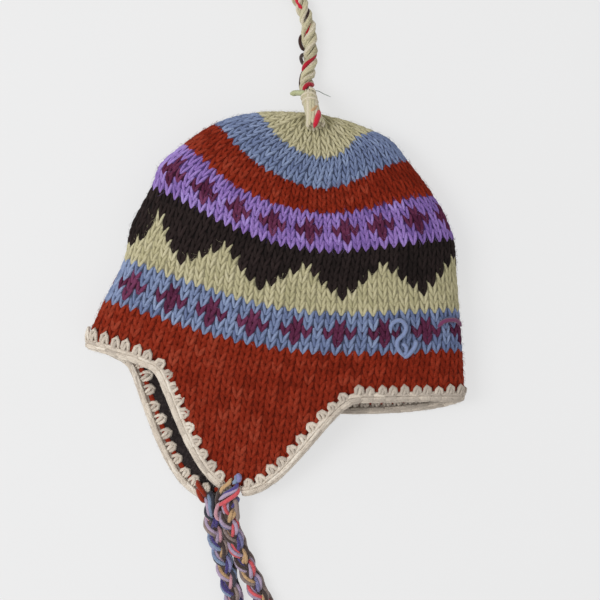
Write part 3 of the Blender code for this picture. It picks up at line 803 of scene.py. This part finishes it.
def addStitches(store, stitches, yarn):
    stitches = np.array(stitches, float)
    number = len(stitches)
    column, row, width = (stitches[:, k][:, None] for k in range(3))
    wander = chance.normal(0, 1, (4, number, 1))
    shade = 0.10 * chance.normal(0, 1, number)
    for way in (-1, 1):
        c = column + width * (way * leg["aside"] + 0.025 * wander[0])
        r = row + leg["up"] * (1 + 0.03 * wander[1]) + 0.04 * wander[2]
        c, r = surfaceColumn(c, r), surfaceRow(c, r)
        normal = unit(readGrid(surfaceNormal, c, r))
        local = np.linalg.norm(readGrid(columnStep, c, r), axis=-1)
        height = np.minimum(yarn["height"], 0.42 * local * width) * (0.35 + 0.65 * leg["thick"])
        across = yarn["width"] * width * local * leg["thick"] * (1 + 0.05 * wander[3])
        sink = height + leg["sink"] + 0.00018 * np.abs(wander[1])
        centres = readGrid(surface, c, r) - normal * sink[..., None]
        # as in the photo, painted shade darker to the right, and a painted highlight lighter at the
        # gathered top
        tone = (np.interp(centres[:, 3, 0], [-0.08, 0.09], [0.04, -0.10])
                + np.interp(row[:, 0], [29, 32], [0, 0.16]))
        addTubes(store, centres, normal, across, height, shade=shade + tone + 0.03 * way)


for yarnName, yarn in yarns.items():
    material = woolMaterial(yarnName + "_wool_yarn", yarn["base"], yarn["dark"], yarn["light"],
                            sheen=yarn["sheen"])
    store = newStore()
    addStitches(store, layout[yarnName], yarn)
    makePiece(yarnName + "Stitches", store, material)
    picks = np.repeat(np.array(layout[yarnName], float), yarn["hairs"], axis=0)
    c = picks[:, 0] + picks[:, 2] * chance.uniform(-0.5, 0.5, len(picks))
    r = surfaceRow(c, picks[:, 1] + chance.uniform(0, 1, len(picks)))
    store = newStore()
    addHairs(store, readGrid(surface, c, r), unit(readGrid(surfaceNormal, c, r)),
             length=0.0036, thick=0.00007)
    makePiece(yarnName + "Hairs", store, material)

# The knitted ground behind the stitches, darker as painted shade between the stitches, and the
# fleece lining
ground = {"outer": 0.0015, "inner": 0.0045, "columns": 144, "flapSteps": 18,
          "rows": tuple(np.arange(5, 37.1, 0.5))}


def pieceRings(piece, face):
    return shellRings(piece[face], piece["columns"], piece["flapSteps"], piece["rows"])


def closedShell(piece):
    # two skins, joined along the lower edge and each closed at the top
    store = newStore()
    outer, inner = pieceRings(piece, "outer"), pieceRings(piece, "inner")
    rings, count = outer.shape[:2]
    points = np.vstack([outer.reshape(-1, 3), inner.reshape(-1, 3),
                        apexPoint(piece["outer"])[None], apexPoint(piece["inner"])[None]])
    i = np.arange(count)
    j = (i + 1) % count
    low = (np.arange(rings - 1) * count)[:, None]
    skin = np.stack([low + i, low + j, low + count + j, low + count + i], -1).reshape(-1, 4)
    base = rings * count
    faces = skin.tolist() + (base + skin[:, ::-1]).tolist()
    faces += np.stack([i, base + i, base + j, j], -1).tolist()
    top = (rings - 1) * count
    faces += [[top + a, top + b, 2 * base] for a, b in zip(i, j)]
    faces += [[base + top + b, base + top + a, 2 * base + 1] for a, b in zip(i, j)]
    loops = sum(len(face) for face in faces)
    store.update(count=len(points), points=[points], faces=faces, uv=[np.zeros((loops, 2))],
                 shade=[np.zeros(len(points))], tint=[np.ones((len(points), 3))])
    return store


store = closedShell(ground)
ringRows = np.concatenate([np.zeros(ground["flapSteps"]), ground["rows"]])
tint = np.ones_like(store["points"][0])
stitchRows = np.arange(hat["topRow"])
for ringNumber, row in enumerate(ringRows):
    for k in range(ground["columns"]):
        column = k * hat["stitchesRound"] / ground["columns"]
        away = np.abs(surfaceRow(column, stitchRows + 0.5) - row)
        shown = int(np.argmin(away)) if row > 0 else 0
        yarn = yarns[stitchYarn(int(round(column)) % hat["stitchesRound"], shown)]
        for half in (0, 1):
            place = (half * len(ringRows) + ringNumber) * ground["columns"] + k
            tint[place] = hexColour(yarn["gap"])
tint[-2:] = hexColour(yarns["khaki"]["gap"])
store["tint"] = [tint]
# Felted wool: matt and smooth, its darker colour painted shade, so that the gaps between stitches
# look deep
groundWool = woolMaterial("felted_wool_ground", "#C8C8C8", "#A0A0A0", "#E0E0E0", tinted=True,
                          ply=0.0, sheen=0.1)
makePiece("knitGround", store, groundWool, ("knit_shell",))

lining = {"outer": 0.0051, "inner": 0.0071, "columns": 144, "flapSteps": 16,
          "rows": tuple(np.arange(5, 37.1, 1.0)), "hairs": 5000, "hairRings": 20}
store, wall = closedShell(lining), pieceRings(lining, "inner")
ring = chance.integers(0, lining["hairRings"], lining["hairs"])
spot = chance.integers(0, lining["columns"], lining["hairs"])
aheadStep = np.roll(wall, -1, axis=1) - wall
riseStep = np.gradient(wall, axis=0)
inwards = -unit(np.cross(aheadStep, riseStep))[ring, spot]
jitter = chance.uniform(0, 1, (2, lining["hairs"], 1))
start = wall[ring, spot] + aheadStep[ring, spot] * jitter[0] + riseStep[ring, spot] * jitter[1]
way = unit(chance.normal(0, 1, (lining["hairs"], 3)))
centres = np.stack([start + inwards * out + way * aside
                    for out, aside in ((-0.0003, 0.0), (0.0005, 0.0006), (0.0009, 0.0017))], axis=1)
thin = np.tile([0.00016, 0.00012, 0.00005], (lining["hairs"], 1))
addTubes(store, centres, np.repeat(inwards[:, None], 3, axis=1) + 0.01, thin, thin, 3,
         shade=0.2 * chance.normal(0, 1, lining["hairs"]))
# Polyester fleece with a brushed pile: matt, almost black, with a soft grey halo
fleece = woolMaterial("charcoal_fleece_pile", "#2A2424", "#181515", "#443D3C", ply=0.0,
                      contrast=0.9, sheen=0.5)
makePiece("fleeceLining", store, fleece, ("fleece_lining",))

# The crocheted edge: a soft core, chains of links round it, and for each stitch a
# loop over the knitting, on the outside and on the lining
crochet = {
    "pitch": 0.0080, "flapPitch": 0.0108, "core": (0.0036, 0.0026), "coreShade": -0.2,
    "strand": 0.00135, "loopRadius": 0.00165, "tipGap": (0.0090, 0.0030), "farTipGap": 0.004,
    "hemIn": 0.0048, "hemDown": 0.0026, "hemRadius": 0.0021, "hairPitch": 0.0004,
    # each chain: where it lies round the core, its spread in degrees, and how far out
    "chains": ((-38, 12, 0.0040), (12, 15, 0.0031), (66, 16, 0.0027), (114, 16, 0.0026),
               (168, 15, 0.0030)),
    # each link: its length in shares of a pitch, thickness, and how deep it dips
    "link": (np.linspace(-0.72, 0.72, 7), np.array([0.35, 0.85, 1.0, 1.0, 1.0, 0.85, 0.35]),
             np.array([0.0010, 0.0003, 0.0, 0.0, 0.0, 0.0003, 0.0010])),
    # each loop: along in shares of a pitch, outward and above the core's centre, thickness
    "loops": (
        ((-0.24, -0.27, -0.23, -0.03, 0.19, 0.27, 0.26),
         (-0.0014, -0.0036, -0.0062, -0.0079, -0.0064, -0.0038, -0.0014),
         (0.0026, 0.0040, 0.0042, 0.0034, 0.0041, 0.0038, 0.0026), 1.0),
        ((-0.10, -0.07, -0.02, 0.02, 0.05, 0.07, 0.07),
         (-0.0010, -0.0024, -0.0038, -0.0048, -0.0057, -0.0063, -0.0066),
         (0.0030, 0.0040, 0.0044, 0.0044, 0.0040, 0.0033, 0.0026), 0.85)),
    "loopTaper": np.array([0.5, 0.9, 1, 1, 1, 0.9, 0.5]),
}
edge, edgeOut, edgeThrough = edgeLine(4 * hat["stitchesRound"])
nearTip, farTip = flapTip(edge, True), flapTip(edge, False)
# Undyed plied wool: matt cream with greyer flecks, its plies seen as fine slanting lines
creamWool = woolMaterial("cream_wool_yarn", "#CEC2B3", "#AFA498", "#DDD4C7", contrast=0.55,
                         ply=0.7)


def edgeRun(first, last, skipFirst, skipLast):
    # evenly spaced frames from one flap's tip to the other's
    last = last if last > first else last + len(edge)
    pick = np.arange(first, last + 1) % len(edge)
    line = edge[pick]
    for _ in range(3):
        line[1:-1] = (line[:-2] + 2 * line[1:-1] + line[2:]) / 4
    travel = travelAlong(line)
    onFlap = np.clip(rimDepth[pick] / 0.02, 0, 1)
    run = {"travel": travel, "line": line, "out": edgeOut[pick], "up": -edgeThrough[pick],
           "from": skipFirst, "to": travel[-1] - skipLast, "starts": [], "pitch": []}
    place, pitch = skipFirst, crochet["pitch"]
    while place < run["to"] - pitch * 0.6:
        wide = pitch + np.interp(place, travel, onFlap) * (crochet["flapPitch"] - pitch)
        run["starts"].append(place + wide / 2)
        run["pitch"].append(wide)
        place += wide
    return run


def readRun(run, at):
    line, out, up = (readLine(run[key], run["travel"], at) for key in ("line", "out", "up"))
    return line, unit(out), unit(up)


def edgeShade(centres):
    # painted shade: the rim is darker to the right of the flap
    paintedShade = np.interp(centres[:, 3, 0], [0.015, 0.05], [0.0, -0.26])
    return 0.14 * chance.normal(0, 1, len(centres)) + paintedShade


store, hemStore = newStore(), newStore()
for run in (edgeRun(nearTip, farTip, crochet["tipGap"][1], crochet["farTipGap"]),
            edgeRun(farTip, nearTip, 0.0, crochet["tipGap"][0])):
    length = run["to"] - run["from"]
    at = np.linspace(run["from"], run["to"], int(length / 0.002))
    coreLine, coreOut, coreUp = readRun(run, at)
    lumps = 1 + 0.08 * np.sin(2 * math.pi * at / crochet["pitch"])
    lumps[[0, -1]], lumps[[1, -2]] = 0.55, 0.9
    wide, high = crochet["core"]
    # the core is darker than the chains round it: painted shade in the gaps between them
    addTubes(store, coreLine[None], coreUp[None], wide * lumps[None], high * lumps[None], 10,
             shade=crochet["coreShade"])
    count = len(run["starts"])
    starts, pitch = np.array(run["starts"])[:, None], np.array(run["pitch"])[:, None]
    for middle, spread, reach in crochet["chains"]:
        slip = chance.uniform(-0.3, 0.3)
        linkAt, profile, dip = crochet["link"]
        for way in (-1, 1):
            # angle 0 faces the hat's outside, and 90 degrees outward
            angle = np.radians(middle + way * spread * np.linspace(0.25, 1.0, 7))[:, None]
            places = starts + pitch * (linkAt + slip) + 0.0005 * chance.normal(0, 1, (count, 1))
            line, out, up = readRun(run, np.clip(places, run["from"], run["to"]))
            ups = around(up, out, angle)
            centres = line + ups * (reach - dip)[:, None]
            thick = crochet["strand"] * profile * (1 + 0.07 * chance.normal(0, 1, (count, 1)))
            centres[..., 2] = np.maximum(centres[..., 2], thick + 0.0001)
            addTubes(store, centres, ups, thick, thick, shade=edgeShade(centres))
    for facing in (1, -1):
        jitter = 0.05 * chance.normal(0, 1, (count, 1))
        grow = 1 + 0.08 * chance.normal(0, 1, (count, 1, 1))
        for alongShare, outward, rise, share in crochet["loops"]:
            line, out, up = readRun(run, starts + pitch * (np.array(alongShare) + jitter))
            # at the left corner of the rim the loops are drawn up further
            drawn = grow + np.interp(line[:, 3, 0], [-0.118, -0.096], [0.45, 0.0])[:, None, None]
            centres = (line + out * np.array(outward)[:, None] * drawn
                       + up * facing * np.array(rise)[:, None])
            radius = crochet["loopRadius"] * share
            centres[..., 2] = np.maximum(centres[..., 2], radius)
            thick = np.tile(radius * crochet["loopTaper"], (count, 1))
            # the loops are a little darker than the chains: painted shade
            addTubes(store, centres, up * facing, thick, thick * 0.85,
                     shade=edgeShade(centres) - 0.06)
    hairAt = chance.uniform(run["from"], run["to"], int(length / crochet["hairPitch"]))
    line, out, up = readRun(run, hairAt)
    turn = chance.uniform(-0.4, 3.5, (len(hairAt), 1))
    way = around(up, out, turn)
    addHairs(store, line + way * crochet["core"][0], way)
    # the knitting's own turned edge, which shows between the loops on the lining's side
    hem = coreLine - coreOut * crochet["hemIn"] - coreUp * crochet["hemDown"]
    hem[:, 2] = np.maximum(hem[:, 2], crochet["hemRadius"] + 0.0001)
    addYarn(hemStore, hem, coreUp, crochet["hemRadius"])
makePiece("crochetEdging", store, creamWool, ("crochet_edging",))
makePiece("turnedEdge", hemStore, bpy.data.materials["rust_wool_yarn"])

# Loose ends: the snagged loop in the blue band and the magenta float at its right
# Softly spun wool: matt and fuzzy, tinted yarn by yarn
strayWool = woolMaterial("stray_wool_yarn", "#FFFFFF", "#D0CCCC", "#FFFFFF", tinted=True,
                         ply=0.6)
yarnColours.update(snag="#7A88AC", magenta="#70365A")
store = newStore()
for colour, radius, places in (
        ("snag", 1.5, ((391, 333, 0), (391, 326, 1), (396, 321, 2), (402, 321, 2.4),
                       (406, 327, 2.4), (404, 334, 2), (398, 340, 1.4), (397, 346, 1),
                       (401, 353, 0.8), (405, 357, 0))),
        ("snag", 1.7, ((404, 358, 0), (410, 353, 0.8), (415, 346, 0.8), (416, 340, 0))),
        ("snag", 1.5, ((402, 343, 0), (406, 347, 1), (406, 352, 0.6), (402, 356, 0))),
        ("magenta", 1.6, ((438, 327, 0), (443, 322, 0.6), (450, 320, 0.7), (457, 321, 0.5),
                          (461, 326, 0)))):
    line = smoothRoute([onHat(x, y, z / 1000) for x, y, z in places], count=28)
    taper = np.interp(np.linspace(0, 1, 28), [0, 0.1, 0.9, 1], [0.4, 1, 1, 0.4])
    addYarn(store, line, overhead, radius / 1000 * taper, colour=colour)
    hairAt = np.repeat(line[2:-2], 3, axis=0)
    addHairs(store, hairAt, np.tile(overhead, (len(hairAt), 1)), colour=colour)
makePiece("looseYarn", store, strayWool)

# Where the braids are sewn to the flaps: their yarns start over the knitting
roots = {   # colours, radii, pixels and heights as for the strays of the foot
    "nearBraidRoot": (
        ("periwinkle", 2.1, ((238, 474, 18.5), (239, 478, 21.2), (237, 482, 20.5))),
        ("blueGrey", 1.5, ((236, 475, 18.5), (236, 480, 21.6), (233, 484, 20.5))),
        ("violet", 1.4, ((238, 482, 20), (236, 487, 21.5), (228, 492, 20.5), (222, 496, 17))),
        ("lilac", 1.5, ((238, 484, 19), (235, 490, 21.2), (226, 495, 20.5), (219, 500, 17))),
        ("coral", 1.6, ((238, 486, 18), (237, 493, 20.5), (228, 500, 20.5), (218, 506, 17))),
        ("rose", 1.4, ((220, 502, 17), (217, 508, 17.5), (216, 515, 16.5), (219, 521, 14.5))),
        ("tan", 1.6, ((232, 478, 19), (229, 483, 20.2), (223, 488, 19), (219, 494, 16))),
        ("umber", 1.4, ((226, 484, 16), (220, 490, 17.5), (217, 498, 16), (217, 506, 14))),
        ("umber", 2.2, ((224, 493, 13), (221, 500, 13.5), (220, 508, 12.5), (222, 517, 10))),
        ("taupe", 1.8, ((233, 497, 17.5), (236, 503, 17.5), (237, 512, 16), (238, 521, 13.5)))),
    "farBraidRoot": (
        ("blueGrey", 1.5, ((208, 494, 8), (210, 501, 11.2), (210, 508, 11.8), (212, 517, 10))),
        ("lilac", 1.4, ((205, 497, 7.5), (207, 503, 10.5), (208, 509, 11), (209, 518, 9))),
        ("slate", 1.4, ((213, 494, 8), (213, 501, 11), (213, 509, 11.5), (215, 516, 9.5))),
        ("slate", 2.4, ((209, 490, 5.5), (212, 496, 7), (214, 503, 7), (215, 511, 6))),
        ("umber", 1.6, ((217, 494, 8), (217, 502, 10.5), (217, 510, 11), (216, 518, 9.5))),
        ("rust", 1.9, ((197, 480, 8.5), (199, 486, 9.5), (203, 492, 9.5), (206, 497, 7.5))),
        ("rust", 1.9, ((198, 487, 8), (199, 493, 8.8), (202, 499, 8.5), (206, 502, 6)))),
}
for name, yarnsThere in roots.items():
    store = newStore()
    for colour, radius, places in yarnsThere:
        points = [pixelPoint(x, y, z / 1000) for x, y, z in places]
        addStray(store, points, radius / 1000, colour, count=18)
    makePiece(name, store, mixedWool)

# A sheet of matt white card, lit from behind as on a light table, and soft light on the hat
studio = {
    "floorSize": 4.0, "cardTones": ("#727272", "#767677"), "cardGlow": 0.628, "worldLight": 0.72,
    # each light: its place, size and strength
    "lights": {"keyLight": ((-1.4, 0.1, 1.8), 1.2, 31.0),
               "fillLight": ((1.2, -1.2, 1.8), 1.6, 1.5)},
}
bpy.ops.mesh.primitive_plane_add(size=studio["floorSize"], location=(0.0, 0.0, 0.0))
floor = bpy.context.object
floor.name = "floor"
card = bpy.data.materials.new("matt_white_card")
card.use_nodes = True
tree = card.node_tree
place = addNode(tree, "ShaderNodeTexCoord").outputs["Object"]
mottle = addNode(tree, "ShaderNodeTexNoise", {"Vector": place, "Scale": 6.0, "Detail": 2.0})
tones = addNode(tree, "ShaderNodeValToRGB", {"Fac": mottle.outputs[0]})
for element, tone in zip(tones.color_ramp.elements, studio["cardTones"]):
    element.color = (*hexColour(tone), 1)
fillInputs(tree, tree.nodes["Principled BSDF"], {
    "Base Color": tones.outputs["Color"], "Emission Color": (1.0, 1.0, 1.0, 1.0),
    "Emission Strength": studio["cardGlow"], "Roughness": 0.9, "Specular IOR Level": 0.1})
floor.data.materials.append(card)

world = bpy.data.worlds.new("studio")
bpy.context.scene.world = world
world.use_nodes = True
fillInputs(world.node_tree, world.node_tree.nodes["Background"], {
    "Color": (1.0, 1.0, 1.0, 1.0), "Strength": studio["worldLight"]})
for name, (place, size, energy) in studio["lights"].items():
    lightData = bpy.data.lights.new(name, "AREA")
    lightData.size = size
    lightData.energy = energy
    light = bpy.data.objects.new(name, lightData)
    light.location = place
    light.rotation_euler = (-Vector(place)).to_track_quat("-Z", "Y").to_euler()
    bpy.context.scene.collection.objects.link(light)
